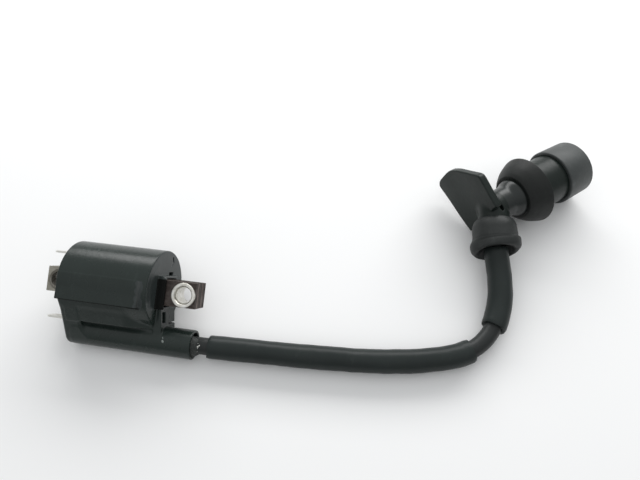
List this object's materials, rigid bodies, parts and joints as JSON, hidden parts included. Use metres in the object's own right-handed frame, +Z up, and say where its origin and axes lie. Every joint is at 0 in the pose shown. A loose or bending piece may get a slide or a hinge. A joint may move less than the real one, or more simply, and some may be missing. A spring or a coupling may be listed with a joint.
{
  "type": "ignition coil",
  "caption": "Small engine ignition coil: moulded coil on a laminated core with bushed ends, a sleeved high-voltage lead and an elbow spark plug cap that turns on the lead.",
  "frame": {"origin": "middle of the coil's footprint, on the surface that the object lies on", "axes": "+X along the coil's core, towards the tower that the lead leaves; +Z up; the coil lies on its barrel and its tower"},
  "size_m": [0.2235, 0.1189, 0.0316],
  "materials": {
    "black_housing": "satin moulded black",
    "dark_epoxy": "cast, glossy",
    "natural_bobbin": "natural nylon",
    "enamelled_wire": "enamelled copper wire",
    "laminated_steel": "bare laminated steel with light rust",
    "zinc_plate": "zinc plated",
    "tinned_blade": "tinned brass",
    "contact_brass": "plain brass",
    "clear_glue": "clear glue",
    "lead_rubber": "satin black",
    "sleeve_vinyl": "satin black",
    "cap_resin": "satin to glossy black",
    "cap_rubber": "matt black",
    "resistor_ceramic": "ceramic"
  },
  "bodies": {
    "coil": {"coil_housing": "black_housing", "epoxy_potting": "dark_epoxy", "primary_bobbin": "natural_bobbin", "primary_winding": "enamelled_wire", "secondary_bobbin": "natural_bobbin", "secondary_winding": "enamelled_wire", "laminated_core": "laminated_steel", "left_mount_bush": "zinc_plate", "right_mount_bush": "zinc_plate", "power_terminal": "tinned_blade", "earth_terminal": "tinned_blade", "high_voltage_contact": "contact_brass", "tower_seal": "clear_glue", "ht_lead": "lead_rubber", "long_sleeve": "sleeve_vinyl", "short_sleeve": "sleeve_vinyl"},
    "cap": {"cap_body": "cap_resin", "lead_end_cover": "cap_rubber", "umbrella_seal": "cap_rubber", "plug_boot": "cap_rubber", "lead_screw_contact": "contact_brass", "suppressor_resistor": "resistor_ceramic", "contact_spring": "zinc_plate", "plug_terminal_contact": "contact_brass", "retaining_clip": "zinc_plate"}
  },
  "joints": [
    {"name": "cap_swivel", "type": "hinge", "parent": "coil", "child": "cap", "pos_m": [0.1487, 0.06, 0.017], "axis": [0.1229, -0.9575, -0.2611], "range_deg": [-90, 90]}
  ]
}
